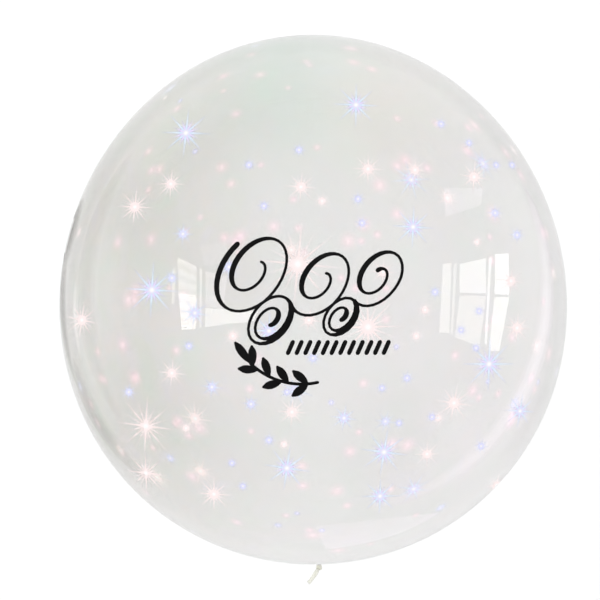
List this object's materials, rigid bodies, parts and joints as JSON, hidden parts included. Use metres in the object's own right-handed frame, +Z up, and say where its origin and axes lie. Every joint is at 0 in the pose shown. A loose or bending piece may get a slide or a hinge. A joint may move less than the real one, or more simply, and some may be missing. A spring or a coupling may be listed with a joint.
{
  "type": "clear bubble balloon",
  "caption": "Round see-through film balloon with a knotted neck and short tail, and a cut vinyl flourish, stroke row and leaf sprig on its front.",
  "frame": {"origin": "centre of the small flat spot that the bubble rests on, on its back", "axes": "+Z up, out of the decorated front; +Y from the knotted neck to the crown; +X to the right of the decoration"},
  "size_m": [0.5, 0.5421, 0.4977],
  "materials": {
    "clear_film": "thin clear glossy film with a faint pearly tint",
    "black_vinyl": "black cut vinyl with a low sheen"
  },
  "bodies": {
    "root": {"bubble": "clear_film", "flourish": "black_vinyl", "leaf_sprig": "black_vinyl", "row_stroke_01": "black_vinyl", "row_stroke_02": "black_vinyl", "row_stroke_03": "black_vinyl", "row_stroke_04": "black_vinyl", "row_stroke_05": "black_vinyl", "row_stroke_06": "black_vinyl", "row_stroke_07": "black_vinyl", "row_stroke_08": "black_vinyl", "row_stroke_09": "black_vinyl", "row_stroke_10": "black_vinyl", "row_stroke_11": "black_vinyl", "row_stroke_12": "black_vinyl"}
  },
  "joints": []
}
